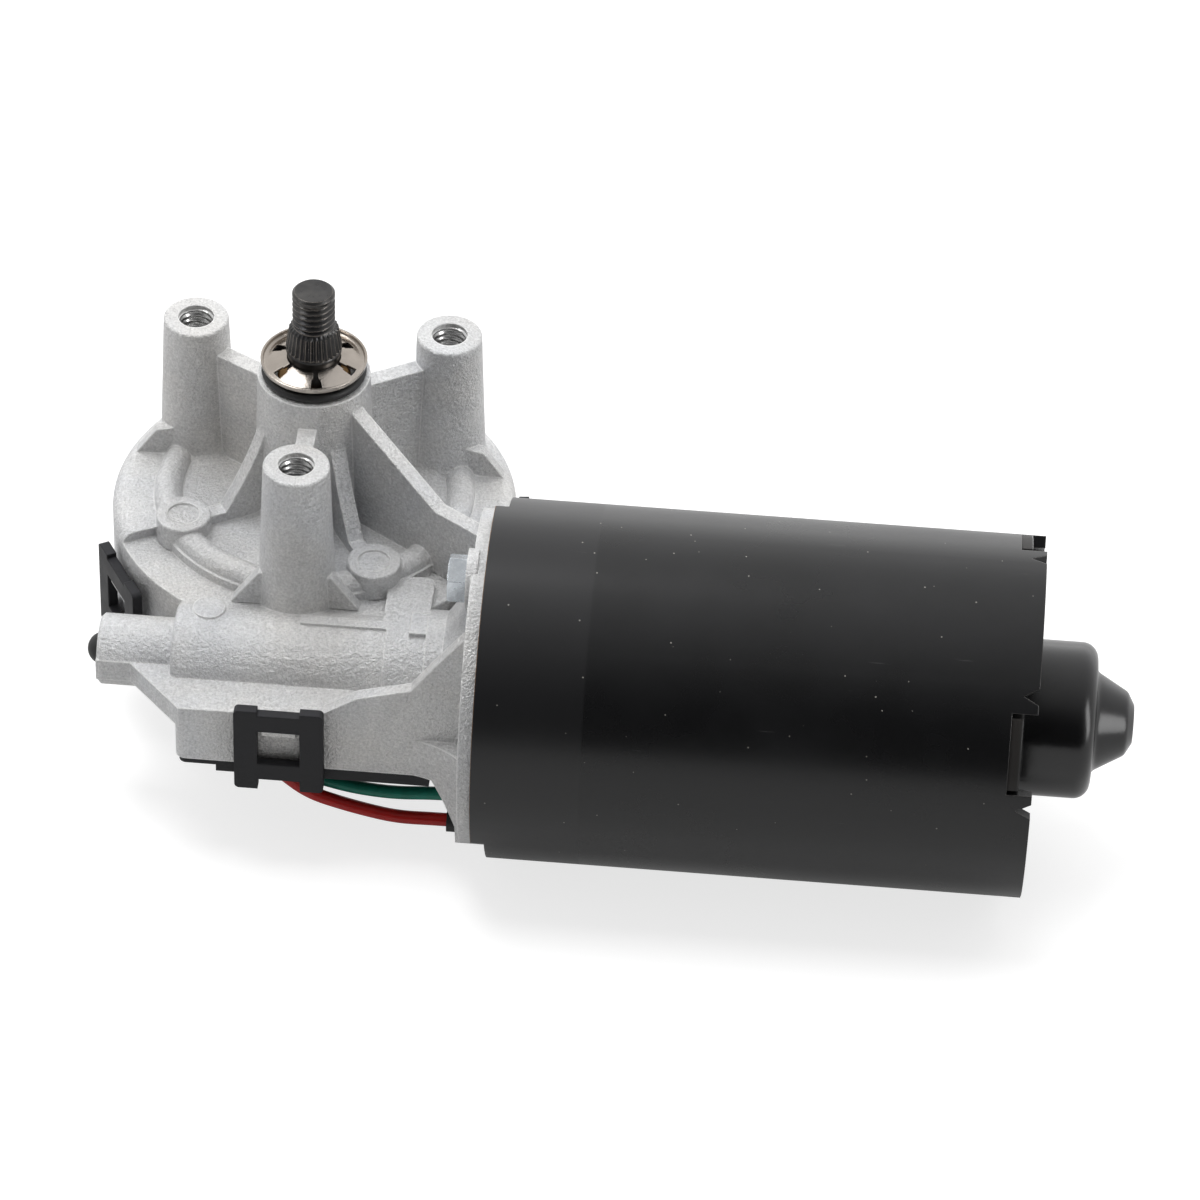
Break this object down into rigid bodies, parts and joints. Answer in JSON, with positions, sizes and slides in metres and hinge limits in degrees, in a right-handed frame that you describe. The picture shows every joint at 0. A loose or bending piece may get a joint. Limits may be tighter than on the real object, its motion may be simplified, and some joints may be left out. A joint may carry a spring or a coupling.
{
  "type": "wiper motor",
  "caption": "Windscreen wiper gear motor: ribbed die-cast worm gear case with tapped mounting bosses and a splined output shaft, joined to a black cylindrical motor.",
  "frame": {"origin": "on the output shaft axis, in the plane of the three mounting boss tops", "axes": "+Z out along the output shaft, +X along the armature from the gear case to the motor end cap"},
  "size_m": [0.1947, 0.1096, 0.0914],
  "materials": {
    "die_cast_aluminium": "shot-blasted die casting",
    "black_paint": "satin black paint",
    "gloss_black_paint": "gloss black paint",
    "black_plastic": "moulded, matte",
    "black_oxide_steel": "black oxide",
    "stainless_steel": "polished spring steel",
    "black_rubber": "matte",
    "zinc_steel": "blue zinc plate",
    "red_insulation": "soft plastic insulation",
    "green_insulation": "soft plastic insulation",
    "sintered_bronze": "oil-soaked sintered bronze",
    "bright_steel": "ground",
    "white_acetal": "moulded acetal",
    "copper": "copper",
    "lamination_steel": "stacked laminations",
    "enamelled_copper": "enamelled winding wire",
    "brown_phenolic": "moulded phenolic",
    "felt": "oiled felt",
    "ferrite": "ferrite",
    "brass": "rolled brass",
    "carbon": "copper graphite"
  },
  "bodies": {
    "motor_body": {"gear_housing": "die_cast_aluminium", "motor_can": "black_paint", "end_cap": "gloss_black_paint", "bottom_cover": "black_plastic", "shaft_o_ring": "black_rubber", "tube_end_plug": "black_rubber", "red_grommet": "black_rubber", "green_grommet": "black_rubber", "cover_seal": "black_rubber", "flange_bolts": "zinc_steel", "red_lead": "red_insulation", "green_lead": "green_insulation", "upper_output_bush": "sintered_bronze", "lower_output_bush": "sintered_bronze", "worm_end_bush": "sintered_bronze", "end_cap_bush": "sintered_bronze", "thrust_pad": "bright_steel", "adjuster_screw": "zinc_steel", "bearing_outer_ring": "bright_steel", "bearing_balls": "bright_steel", "felt_ring": "felt", "bush_retainer": "bright_steel", "field_magnets": "ferrite", "magnet_springs": "bright_steel", "motor_front_plate": "zinc_steel", "brush_plate": "brown_phenolic", "brush_boxes": "brass", "carbon_brushes": "carbon", "brush_springs": "bright_steel", "blade_terminals": "brass", "contact_springs": "brass"},
    "output": {"output_shaft": "black_oxide_steel", "star_washer": "stainless_steel", "thrust_shim": "bright_steel", "worm_wheel": "white_acetal", "park_contact_disc": "copper"},
    "armature": {"armature_shaft": "bright_steel", "armature_core": "lamination_steel", "armature_winding": "enamelled_copper", "commutator": "copper", "commutator_hub": "brown_phenolic", "bearing_inner_ring": "bright_steel"}
  },
  "joints": [
    {"name": "armature_spin", "type": "hinge", "parent": "motor_body", "child": "armature", "pos_m": [0, -0.037, -0.0394], "axis": [1, 0, 0], "continuous": true},
    {"name": "output_spin", "type": "hinge", "parent": "motor_body", "child": "output", "pos_m": [0, 0, 0], "axis": [0, 0, 1], "continuous": true}
  ],
  "couplings": [
    {"joint": "output_spin", "follows": "armature_spin", "ratio": -0.019231}
  ]
}
